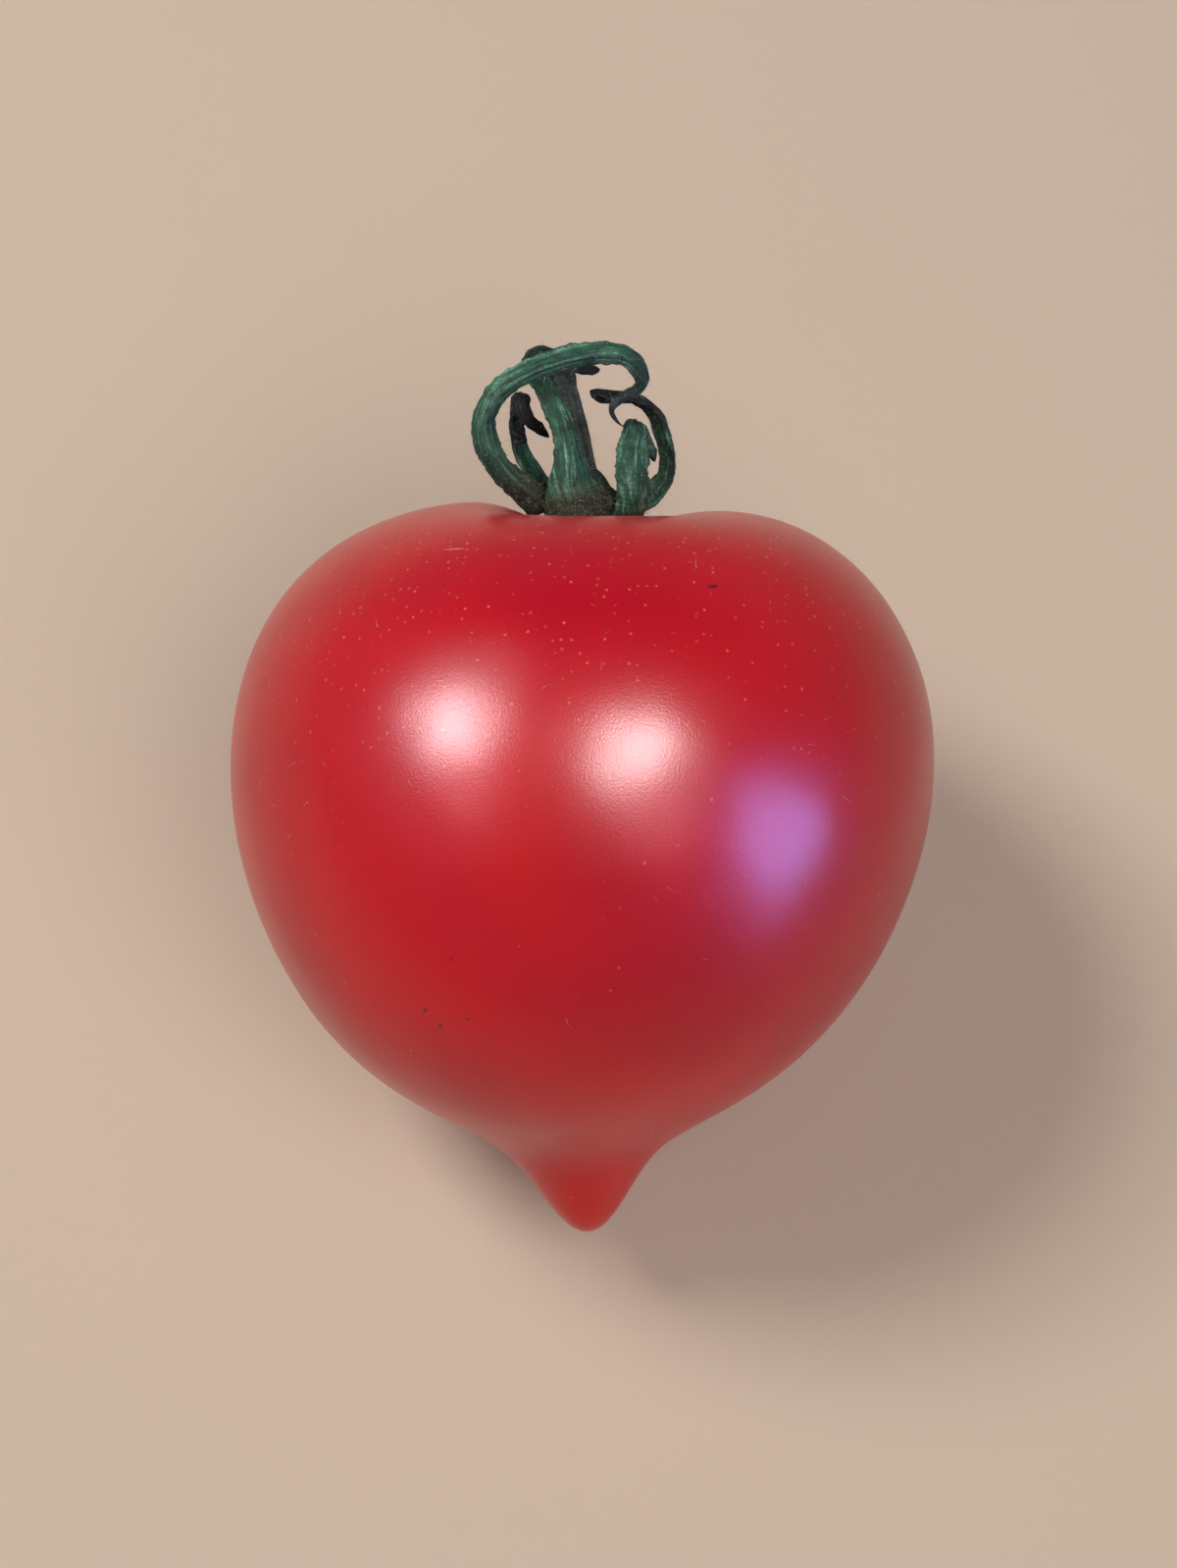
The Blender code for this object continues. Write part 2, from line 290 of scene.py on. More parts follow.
def addHill(tree, angle, centre, spread):
    # exp(-((angle - centre) / spread) ** 2), the smooth rise that shapes the rim, hollow and lean
    off = addNode(tree, "ShaderNodeMath", {0: angle, 1: centre}, operation="SUBTRACT")
    share = addNode(tree, "ShaderNodeMath", {0: off, 1: spread}, operation="DIVIDE")
    square = addNode(tree, "ShaderNodeMath", {0: share, 1: share}, operation="MULTIPLY")
    minus = addNode(tree, "ShaderNodeMath", {0: square, 1: -1.0}, operation="MULTIPLY")
    return addNode(tree, "ShaderNodeMath", {0: minus}, operation="EXPONENT")


def fruitTree():
    number = "NodeSocketFloat"
    sockets = {name: number for name in fruitPlan if name not in ("waves", "Detail", "seatHeight")}
    sockets.update({"Detail": "NodeSocketInt", "Material": "NodeSocketMaterial"})
    tree, given = startTree("growFruit", sockets)
    ball = addNode(tree, "GeometryNodeMeshIcoSphere",
                   {"Radius": 1.0, "Subdivisions": given["Detail"]})
    place = addNode(tree, "GeometryNodeInputPosition")
    toward = addNode(tree, "ShaderNodeVectorMath", {0: place}, operation="NORMALIZE")
    x, y, z = addNode(tree, "ShaderNodeSeparateXYZ", {0: toward}).outputs
    ahead = addNode(tree, "ShaderNodeMath", {0: y, 1: -1.0}, operation="MULTIPLY")
    angle = addNode(tree, "ShaderNodeMath", {0: ahead}, operation="ARCCOSINE")
    degrees = addNode(tree, "ShaderNodeMath", {0: angle}, operation="DEGREES")
    turn = addNode(tree, "ShaderNodeMath", {0: z, 1: x}, operation="ARCTAN2")

    radius = fruitPlan["waves"][0]
    for count, height in enumerate(fruitPlan["waves"][1:], 1):
        times = addNode(tree, "ShaderNodeMath", {0: angle, 1: float(count)}, operation="MULTIPLY")
        wave = addNode(tree, "ShaderNodeMath", {0: times}, operation="COSINE")
        radius = addNode(tree, "ShaderNodeMath", {0: wave, 1: height, 2: radius},
                         operation="MULTIPLY_ADD")

    share = addNode(tree, "ShaderNodeMath", {0: degrees, 1: given["Tip spread"]},
                    operation="DIVIDE")
    square = addNode(tree, "ShaderNodeMath", {0: share, 1: share, 2: 1.0}, operation="MULTIPLY_ADD")
    fall = addNode(tree, "ShaderNodeMath", {0: square, 1: given["Tip power"]}, operation="POWER")
    tip = addNode(tree, "ShaderNodeMath", {0: given["Tip height"], 1: fall}, operation="DIVIDE")
    radius = addNode(tree, "ShaderNodeMath", {0: radius, 1: tip}, operation="ADD")
    hollow = addHill(tree, degrees, 180.0, given["Hollow spread"])
    sunk = addNode(tree, "ShaderNodeMath", {0: hollow, 1: given["Hollow depth"]},
                   operation="MULTIPLY")
    radius = addNode(tree, "ShaderNodeMath", {0: radius, 1: sunk}, operation="SUBTRACT")

    # lobes: raised left and right, lowest between, with five faint ribs
    lobes = 0.0
    for count, height in ((2.0, given["Shoulder lobes"]), (5.0, given["Five ribs"])):
        times = addNode(tree, "ShaderNodeMath", {0: turn, 1: count}, operation="MULTIPLY")
        wave = addNode(tree, "ShaderNodeMath", {0: times}, operation="COSINE")
        lobes = addNode(tree, "ShaderNodeMath", {0: wave, 1: height, 2: lobes},
                        operation="MULTIPLY_ADD")
    side = addNode(tree, "ShaderNodeMath", {0: turn}, operation="COSINE")
    left = addNode(tree, "ShaderNodeMath", {0: side, 1: given["Left lobe"]}, operation="MULTIPLY")
    lobes = addNode(tree, "ShaderNodeMath", {0: lobes, 1: left}, operation="SUBTRACT")
    rim = addHill(tree, degrees, given["Rim angle"], given["Rim spread"])
    middle = addHill(tree, degrees, 180.0, given["Rim gap"])
    faded = addNode(tree, "ShaderNodeMath", {0: 1.0, 1: middle}, operation="SUBTRACT")
    rim = addNode(tree, "ShaderNodeMath", {0: rim, 1: faded}, operation="MULTIPLY")
    radius = addNode(tree, "ShaderNodeMath", {0: lobes, 1: rim, 2: radius},
                     operation="MULTIPLY_ADD")

    # grown flesh is never quite smooth: low swells about 5 mm across
    swell = addNode(tree, "ShaderNodeTexNoise", {"Vector": toward, "Scale": 3.2, "Detail": 1.0})
    centred = addNode(tree, "ShaderNodeMath", {0: swell, 1: 0.5}, operation="SUBTRACT")
    radius = addNode(tree, "ShaderNodeMath", {0: centred, 1: given["Unevenness"], 2: radius},
                     operation="MULTIPLY_ADD")

    leanHill = addHill(tree, degrees, given["Lean angle"], given["Lean spread"])
    shiftHill = addHill(tree, degrees, 0.0, given["Shift spread"])
    lean = addNode(tree, "ShaderNodeMath", {0: leanHill, 1: given["Lean"]}, operation="MULTIPLY")
    shift = addNode(tree, "ShaderNodeMath", {0: shiftHill, 1: given["Tip shift"]},
                    operation="MULTIPLY")
    sideways = addNode(tree, "ShaderNodeMath", {0: shift, 1: lean}, operation="SUBTRACT")
    offset = addNode(tree, "ShaderNodeCombineXYZ", {"X": sideways})
    flesh = addNode(tree, "ShaderNodeVectorMath", {0: toward, "Scale": radius}, operation="SCALE")
    moved = addNode(tree, "ShaderNodeVectorMath", {0: flesh, 1: offset}, operation="ADD")
    tilted = addNode(tree, "ShaderNodeVectorRotate", {"Vector": moved, "Angle": given["Tilt"]},
                     rotation_type="X_AXIS")
    scaled = addNode(tree, "ShaderNodeVectorMath", {0: tilted, "Scale": mm}, operation="SCALE")

    share = addNode(tree, "ShaderNodeMath", {0: degrees, 1: 180.0}, operation="DIVIDE")
    noted = addNode(tree, "GeometryNodeStoreNamedAttribute",
                    {"Geometry": ball, "Name": "fromTip", "Value": share})
    across = addNode(tree, "ShaderNodeSeparateXYZ", {0: moved}).outputs["X"]
    fromMiddle = addNode(tree, "ShaderNodeMath", {0: across, 1: given["Streak offset"]},
                         operation="ADD")
    aside = addNode(tree, "ShaderNodeMath", {0: fromMiddle}, operation="ABSOLUTE")
    noted = addNode(tree, "GeometryNodeStoreNamedAttribute",
                    {"Geometry": noted, "Name": "acrossAxis", "Value": aside})
    shaped = addNode(tree, "GeometryNodeSetPosition", {"Geometry": noted, "Position": scaled})
    endTree(tree, shaped, given)
    return tree


def corner(mesh, pick):
    return Vector([pick(vert.co[axis] for vert in mesh.vertices) for axis in range(3)])


# grown with its heart at the origin, then moved to the solid's own top corner and pressed flat
# on the floor
fruitMesh = growMesh("fruit_skin", bpy.data.meshes.new("seed"), fruitTree(), fruitPlan)
heart = Vector(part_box("fruit")[1]) - corner(fruitMesh, max)
tilted = Matrix.Rotation(fruitPlan["Tilt"], 4, "X")
fruitFrame = Matrix.Translation(heart) @ tilted @ Matrix.Scale(mm, 4)
fruitMesh.transform(Matrix.Translation(heart))
for vert in fruitMesh.vertices:
    vert.co.z = max(vert.co.z, 0.0)
fruitMesh.materials.clear()
skinCast = BVHTree.FromPolygons([vert.co for vert in fruitMesh.vertices],
                                [face.vertices for face in fruitMesh.polygons])
markSpots = []
for x, y, length, width, turn, kind in skinMarks:
    above = fruitFrame @ Vector((x, y, 40.0))  # well clear of the skin
    plumb = (fruitFrame @ Vector((x, y, 0.0)) - above).normalized()
    spot = skinCast.ray_cast(above, plumb)[0]
    markSpots.append((spot, math.radians(turn), length * mm, width * mm, kind))
fruitMesh.materials.append(makeSkin(markSpots))
closeFaces(fruitMesh)
addPiece("fruit_skin", fruitMesh, "tomato_skin", "fruit")
print("heart of the fruit at", [round(value / mm, 3) for value in heart], "mm")


# The stem and each sepal are grown along a spine, in the calyx's own frame in mm: X right, Y along
#  the stem from the bottom of the hollow, Z up. The darkening lists (share of the way, how dark the
#  blade is there: dried dark on the sepals, painted shade at the stem's foot and top), and girths
#      (share of the way, radius).
calyxFrame = fruitFrame @ Matrix.Translation((0, fruitPlan["seatHeight"], 0))

calyxLook = {
    "leaf": "#1d5640",
    # painted highlight: the pale green of the streaks along the sepals
    "paintedShine": "#7db89f",
    "stalk": "#3a4c44",
    # painted highlight: the pale grey-green of the streaks along the stalk
    "stalkPaintedShine": "#6c7a70",
    "shade": "#050b09",
    "brown": "#2b2e1c",
    "rust": "#77744c",
    "bloom": "#bfe0d8",
    "mottle": 0.9,  # mm
    "speckle": 0.12,  # mm
}

stemPlan = {
    "route": ((0.35, -0.40, 0.0), (0.34, 1.40, 0.0), (0.20, 2.70, 0.0), (-0.15, 3.70, 0.0),
              (-0.45, 5.30, 0.0), (-0.85, 7.00, 0.05), (-1.35, 8.70, 0.20)),
    "outward": (0.0, 0.0, 1.0),
    "girths": ((0.0, 1.7), (0.10, 1.95), (0.18, 2.05), (0.26, 1.85), (0.33, 1.15), (0.42, 0.80),
               (0.88, 0.70), (0.94, 0.84), (0.985, 0.72), (1.0, 0.0)),
    # the dark at the foot is painted shade in the gap among the sepal feet, and the dark at the top
    # is painted shade under the front sepal's arch
    "dryAndShade": ((0.0, 0.8), (0.30, 0.75), (0.42, 0.15), (0.85, 0.3), (1.0, 0.8)),
    "rolls": (0, 0, 0),
    "tipRows": 5,
    "growth": {"Rib count": 9.0, "Rib height": 0.05, "Cup": 0.0, "Crinkle height": 0.09,
               "Crinkle size": 0.8, "Ragged edge": 0.0, "Rows": 130, "Around": 56},
}

bladeGrowth = {"Rib count": 13.0, "Rib height": 0.022, "Cup": 0.22, "Crinkle height": 0.20,
               "Crinkle size": 0.75, "Ragged edge": 0.30, "Rows": 220, "Around": 72}

sepalPlans = {
    "sepal_front": {
        "route": ((0.10, 1.05, 2.30), (-0.30, 1.95, 2.60), (-0.60, 2.85, 2.80),
                  (-0.70, 4.00, 2.88), (-1.00, 5.75, 2.50), (-1.80, 7.60, 1.75),
                  (-2.45, 8.80, 1.05), (-2.42, 9.50, 0.25), (-1.90, 9.68, -0.40),
                  (-1.30, 9.37, -0.90), (-0.60, 9.00, -1.10), (0.85, 8.75, -1.00)),
        "outward": (0.0, 0.0, 1.0), "widths": (3.60, 1.12, 0.70),
        "taperFrom": 0.60, "rolls": (0, 0, 50),
        "dryAndShade": ((0.0, 0.0), (0.45, 0.1), (0.6, 0.5), (1.0, 0.95)),
    },
    "sepal_front_left": {
        "route": ((-1.92, 1.60, 0.60), (-2.72, 2.25, 0.98), (-3.82, 3.20, 1.70),
                  (-4.48, 4.05, 2.10), (-4.92, 5.15, 2.30), (-4.95, 6.20, 2.45),
                  (-4.35, 7.35, 2.80), (-3.00, 8.30, 3.10), (-1.20, 9.02, 3.20),
                  (0.90, 9.36, 3.05), (2.10, 9.20, 2.80), (2.75, 8.65, 2.50), (2.95, 7.90, 2.20),
                  (2.45, 7.38, 2.10), (1.75, 7.05, 2.20), (1.40, 6.60, 2.35), (1.60, 6.10, 2.50),
                  (2.05, 5.70, 2.60)),
        "outward": (-0.85, 0.0, 0.5), "widths": (2.10, 1.10, 0.35),
        "taperFrom": 0.66, "rolls": (30, 55, 20),
        "dryAndShade": ((0.0, 0.1), (0.2, 0.3), (0.45, 0.0), (0.7, 0.0), (0.8, 0.5), (1.0, 0.9)),
    },
    "sepal_back_left": {
        "route": ((-0.95, 0.90, -1.80), (-1.55, 1.75, -2.20), (-2.50, 3.05, -2.60),
                  (-3.30, 4.50, -2.80), (-3.50, 6.10, -2.45), (-3.50, 7.00, -1.85),
                  (-3.45, 7.40, -1.20), (-3.25, 7.30, -0.75), (-3.10, 6.75, -0.65),
                  (-2.70, 6.15, -0.85), (-1.75, 5.35, -1.40)),
        "outward": (-0.6, 0.0, -0.8), "widths": (2.20, 1.15, 0.40),
        "taperFrom": 0.60, "rolls": (0, 10, 0),
        "dryAndShade": ((0.0, 1.0), (0.2, 0.8), (0.35, 0.2), (0.5, 0.8), (1.0, 1.0)),
    },
    "sepal_back_right": {
        "route": ((1.75, 1.12, -1.80), (2.80, 1.80, -1.90), (3.70, 2.50, -1.95),
                  (4.25, 3.40, -1.85), (4.40, 4.65, -1.60), (4.02, 6.12, -1.10),
                  (3.55, 6.80, -0.70), (3.00, 7.18, -0.40), (2.35, 7.38, -0.20),
                  (1.60, 7.48, -0.10), (0.30, 7.66, -0.15)),
        "outward": (0.75, 0.0, -0.6), "widths": (2.30, 1.20, 0.90),
        "taperFrom": 0.55, "rolls": (0, -20, 0),
        "dryAndShade": ((0.0, 0.3), (0.35, 0.3), (0.6, 0.4), (0.75, 0.9), (1.0, 1.0)),
    },
    "sepal_front_right": {
        "route": ((2.60, 1.10, 0.60), (2.80, 1.80, 1.45), (2.80, 2.65, 2.05), (2.72, 3.60, 2.25),
                  (2.72, 4.50, 2.10), (2.80, 5.35, 1.70), (2.85, 5.82, 1.20), (2.95, 5.85, 0.75),
                  (3.15, 5.40, 0.35), (3.45, 4.70, 0.05), (3.62, 4.10, 0.10)),
        "outward": (0.8, 0.0, 0.6), "widths": (3.00, 1.80, 0.95),
        "taperFrom": 0.45, "rolls": (-10, -40, -20),
        "dryAndShade": ((0.0, 0.1), (0.4, 0.0), (0.6, 0.2), (1.0, 0.5)),
        "growth": {**bladeGrowth, "Crinkle height": 0.38, "Crinkle size": 1.0, "Ragged edge": 0.42},
    },
}


def splinePoint(points, share):
    # Catmull-Rom through the points, the same curve as the solid's
    ends = [points[0] * 2 - points[1], *points, points[-1] * 2 - points[-2]]
    place = share * (len(points) - 1)
    first = min(int(place), len(points) - 2)
    t = place - first
    a, b, c, d = ends[first:first + 4]
    square = 2 * a - 5 * b + 4 * c - d
    cube = 3 * b - a - 3 * c + d
    return 0.5 * (2 * b + (c - a) * t + square * t**2 + cube * t**3)


def evenPoints(route, steps):
    parts = 800
    fine = [splinePoint([Vector(point) for point in route], n / parts) for n in range(parts + 1)]
    reach = [0.0]
    for before, after in zip(fine, fine[1:]):
        reach.append(reach[-1] + (after - before).length)
    points = []
    n = 0
    for step in range(steps + 1):
        wanted = reach[-1] * step / steps
        while n < parts - 1 and reach[n + 1] < wanted:
            n += 1
        points.append(fine[n].lerp(fine[n + 1], (wanted - reach[n]) / (reach[n + 1] - reach[n])))
    return points


def readBetween(pairs, share):
    for (start, low), (end, high) in zip(pairs, pairs[1:]):
        if share <= end:
            return low + (high - low) * (share - start) / (end - start)
    return pairs[-1][1]


def bladeWidth(plan, share):
    base, middle, tip = plan["widths"]
    flare = (base - middle) * math.exp(-((share / 0.18) ** 2))  # the foot widens over the first fifth
    taper = max(0.0, (share - plan["taperFrom"]) / (1.0 - plan["taperFrom"]))
    return middle + flare - (middle - tip) * taper**1.4


def makeSpine(name, plan, rows):
    # a row of points that carry the blade's directions, half sizes and darkening (drying, and at the
    # stem's ends painted shade) to the tree
    points = evenPoints(plan["route"], rows - 1)
    rolls = tuple(zip((0.0, 0.5, 1.0), plan["rolls"]))
    sides, outs, halves, thicks, darkAmounts = [], [], [], [], []
    out = Vector(plan["outward"])
    lastAlong = None
    for n, point in enumerate(points):
        share = n / (rows - 1)
        along = (points[min(n + 1, rows - 1)] - points[max(n - 1, 0)]).normalized()
        if lastAlong:
            out = lastAlong.rotation_difference(along) @ out
        out = (out - along * out.dot(along)).normalized()
        lastAlong = along
        rolled = Quaternion(along, math.radians(readBetween(rolls, share))) @ out
        ends = min(1.0, n / 3, (rows - 1 - n) / plan.get("tipRows", 16))  # both ends close rounded
        rounding = math.sqrt(max(0.0, 1 - (1 - ends) ** 2))
        if "girths" in plan:
            half = thick = readBetween(plan["girths"], share) * rounding
        else:
            half = 0.5 * bladeWidth(plan, share) * rounding
            thick = min(0.17, 0.42 * half + 0.02) * rounding  # mm, less where the blade is narrow
        sides.append(along.cross(rolled))
        outs.append(rolled)
        halves.append(half)
        thicks.append(thick)
        darkAmounts.append(readBetween(plan["dryAndShade"], share))
    mesh = bpy.data.meshes.new(name + "_spine")
    mesh.from_pydata(points, [(n, n + 1) for n in range(rows - 1)], [])
    for label, values in (("side", sides), ("outward", outs)):
        data = mesh.attributes.new(label, "FLOAT_VECTOR", "POINT").data
        for n, value in enumerate(values):
            data[n].vector = value
    for label, values in (("halfWidth", halves), ("halfThick", thicks), ("drynessAndShade", darkAmounts)):
        data = mesh.attributes.new(label, "FLOAT", "POINT").data
        for n, value in enumerate(values):
            data[n].value = value
    return mesh


def bladeTree():
    number = "NodeSocketFloat"
    tree, given = startTree("growBlade",
                            {"Rib count": number, "Rib height": number, "Cup": number,
                             "Crinkle height": number, "Crinkle size": number,
                             "Ragged edge": number, "Rows": "NodeSocketInt",
                             "Around": "NodeSocketInt", "Seed": number,
                             "Material": "NodeSocketMaterial"})
    across = addNode(tree, "ShaderNodeMath", {0: given["Around"], 1: 1.0}, operation="ADD")
    sheet = addNode(tree, "GeometryNodeMeshGrid",
                    {"Size X": 1.0, "Size Y": 1.0, "Vertices X": given["Rows"],
                     "Vertices Y": across})
    index = addNode(tree, "GeometryNodeInputIndex")
    ratio = addNode(tree, "ShaderNodeMath", {0: index, 1: across}, operation="DIVIDE")
    row = addNode(tree, "ShaderNodeMath", {0: ratio}, operation="FLOOR")
    column = addNode(tree, "ShaderNodeMath", {0: index, 1: across}, operation="FLOORED_MODULO")
    part = addNode(tree, "ShaderNodeMath", {0: column, 1: given["Around"]}, operation="DIVIDE")
    turn = addNode(tree, "ShaderNodeMath", {0: part, 1: math.tau}, operation="MULTIPLY")
    cosine = addNode(tree, "ShaderNodeMath", {0: turn}, operation="COSINE")
    sine = addNode(tree, "ShaderNodeMath", {0: turn}, operation="SINE")

    spine = {}
    for label in ("side", "outward", "halfWidth", "halfThick", "drynessAndShade"):
        kind = "FLOAT_VECTOR" if label in ("side", "outward") else "FLOAT"
        named = addNode(tree, "GeometryNodeInputNamedAttribute", {"Name": label}, data_type=kind)
        spine[label] = addNode(tree, "GeometryNodeSampleIndex",
                               {"Geometry": given["Geometry"], "Value": named, "Index": row},
                               data_type=kind)
    place = addNode(tree, "GeometryNodeInputPosition")
    centre = addNode(tree, "GeometryNodeSampleIndex",
                     {"Geometry": given["Geometry"], "Value": place, "Index": row},
                     data_type="FLOAT_VECTOR")

    wide = addNode(tree, "ShaderNodeMath", {0: cosine, 1: spine["halfWidth"]}, operation="MULTIPLY")
    high = addNode(tree, "ShaderNodeMath", {0: sine, 1: spine["halfThick"]}, operation="MULTIPLY")
    sideStep = addNode(tree, "ShaderNodeVectorMath", {0: spine["side"], "Scale": wide},
                       operation="SCALE")
    outStep = addNode(tree, "ShaderNodeVectorMath", {0: spine["outward"], "Scale": high},
                      operation="SCALE")
    flat = addNode(tree, "ShaderNodeVectorMath", {0: centre, 1: sideStep}, operation="ADD")
    smooth = addNode(tree, "ShaderNodeVectorMath", {0: flat, 1: outStep}, operation="ADD")
    seeded = addNode(tree, "ShaderNodeCombineXYZ",
                     {"X": given["Seed"], "Y": given["Seed"], "Z": given["Seed"]})
    spot = addNode(tree, "ShaderNodeVectorMath", {0: smooth, 1: seeded}, operation="ADD")

    # the section's outward direction: the thin way on a blade, straight out on a round stem
    slopeX = addNode(tree, "ShaderNodeMath", {0: cosine, 1: spine["halfThick"]},
                     operation="MULTIPLY")
    slopeY = addNode(tree, "ShaderNodeMath", {0: sine, 1: spine["halfWidth"]}, operation="MULTIPLY")
    slope = addNode(tree, "ShaderNodeCombineXYZ", {"X": slopeX, "Y": slopeY})
    unit = addNode(tree, "ShaderNodeVectorMath", {0: slope}, operation="NORMALIZE")
    unitX, unitY = addNode(tree, "ShaderNodeSeparateXYZ", {0: unit}).outputs[:2]
    faceSide = addNode(tree, "ShaderNodeVectorMath", {0: spine["side"], "Scale": unitX},
                       operation="SCALE")
    faceOut = addNode(tree, "ShaderNodeVectorMath", {0: spine["outward"], "Scale": unitY},
                      operation="SCALE")
    face = addNode(tree, "ShaderNodeVectorMath", {0: faceSide, 1: faceOut}, operation="ADD")

    # ribs wander a little along the blade, and crinkles come from its drying
    drift = addNode(tree, "ShaderNodeTexNoise", {"Vector": spot, "Scale": 0.35, "Detail": 1.0})
    wander = addNode(tree, "ShaderNodeMath", {0: drift, 1: 5.0}, operation="MULTIPLY")
    ribTurn = addNode(tree, "ShaderNodeMath", {0: turn, 1: given["Rib count"], 2: wander},
                      operation="MULTIPLY_ADD")
    rib = addNode(tree, "ShaderNodeMath", {0: ribTurn}, operation="COSINE")
    inverse = addNode(tree, "ShaderNodeMath", {0: 1.0, 1: given["Crinkle size"]},
                      operation="DIVIDE")
    crease = addNode(tree, "ShaderNodeTexNoise",
                     {"Vector": spot, "Scale": inverse, "Detail": 3.0, "Roughness": 0.6})
    creased = addNode(tree, "ShaderNodeMath", {0: crease, 1: 0.5}, operation="SUBTRACT")
    crinkle = addNode(tree, "ShaderNodeMath", {0: creased, 1: given["Crinkle height"]},
                      operation="MULTIPLY")
    lift = addNode(tree, "ShaderNodeMath", {0: rib, 1: given["Rib height"], 2: crinkle},
                   operation="MULTIPLY_ADD")
    # the relief dies away where the blade is thin
    fade = addNode(tree, "ShaderNodeMapRange", {"Value": spine["halfWidth"], "From Max": 0.25})
    lift = addNode(tree, "ShaderNodeMath", {0: lift, 1: fade}, operation="MULTIPLY")
    raised = addNode(tree, "ShaderNodeVectorMath", {0: face, "Scale": lift}, operation="SCALE")

    # the edges bend in, more in some places than in others, and are finely torn
    bend = addNode(tree, "ShaderNodeTexNoise", {"Vector": spot, "Scale": 0.45, "Detail": 0.0})
    bending = addNode(tree, "ShaderNodeMapRange",
                      {"Value": bend, "From Min": 0.3, "From Max": 0.7, "To Min": 0.3,
                       "To Max": 2.6})
    edge = addNode(tree, "ShaderNodeMath", {0: cosine, 1: cosine}, operation="MULTIPLY")
    cup = addNode(tree, "ShaderNodeMath", {0: given["Cup"], 1: spine["halfWidth"]},
                  operation="MULTIPLY")
    cup = addNode(tree, "ShaderNodeMath", {0: cup, 1: bending}, operation="MULTIPLY")
    cup = addNode(tree, "ShaderNodeMath", {0: cup, 1: edge}, operation="MULTIPLY")
    cup = addNode(tree, "ShaderNodeMath", {0: cup, 1: -1.4}, operation="MULTIPLY")
    cupped = addNode(tree, "ShaderNodeVectorMath", {0: spine["outward"], "Scale": cup},
                     operation="SCALE")
    tear = addNode(tree, "ShaderNodeTexNoise", {"Vector": spot, "Scale": 2.6, "Detail": 2.0})
    torn = addNode(tree, "ShaderNodeMath", {0: tear, 1: 0.5}, operation="SUBTRACT")
    sharp = addNode(tree, "ShaderNodeMath", {0: cosine, 1: 5.0}, operation="POWER")
    torn = addNode(tree, "ShaderNodeMath", {0: torn, 1: sharp}, operation="MULTIPLY")
    torn = addNode(tree, "ShaderNodeMath", {0: torn, 1: given["Ragged edge"]}, operation="MULTIPLY")
    torn = addNode(tree, "ShaderNodeMath", {0: torn, 1: fade}, operation="MULTIPLY")
    ragged = addNode(tree, "ShaderNodeVectorMath", {0: spine["side"], "Scale": torn},
                     operation="SCALE")

    final = addNode(tree, "ShaderNodeVectorMath", {0: smooth, 1: raised}, operation="ADD")
    final = addNode(tree, "ShaderNodeVectorMath", {0: final, 1: cupped}, operation="ADD")
    final = addNode(tree, "ShaderNodeVectorMath", {0: final, 1: ragged}, operation="ADD")

    last = addNode(tree, "ShaderNodeMath", {0: given["Rows"], 1: 1.0}, operation="SUBTRACT")
    along = addNode(tree, "ShaderNodeMath", {0: row, 1: last}, operation="DIVIDE")
    shape = sheet
    kept = {"along": along, "drynessAndShade": spine["drynessAndShade"], "crease": crease}
    for label, value in kept.items():
        shape = addNode(tree, "GeometryNodeStoreNamedAttribute",
                        {"Geometry": shape, "Name": label, "Value": value})
    # the leaf's grain: mm across and through, and slow along the blade, so patterns run lengthwise
    slow = addNode(tree, "ShaderNodeMath", {0: row, 1: 0.006}, operation="MULTIPLY")
    grain = addNode(tree, "ShaderNodeCombineXYZ", {"X": wide, "Y": high, "Z": slow})
    grain = addNode(tree, "ShaderNodeVectorMath", {0: grain, 1: seeded}, operation="ADD")
    shape = addNode(tree, "GeometryNodeStoreNamedAttribute",
                    {"Geometry": shape, "Name": "grain", "Value": grain}, data_type="FLOAT_VECTOR")
    placed = addNode(tree, "GeometryNodeSetPosition", {"Geometry": shape, "Position": final})
    # closes the seam and both ends
    merged = addNode(tree, "GeometryNodeMergeByDistance", {"Geometry": placed, "Distance": 0.0005})
    endTree(tree, merged, given)
    return tree


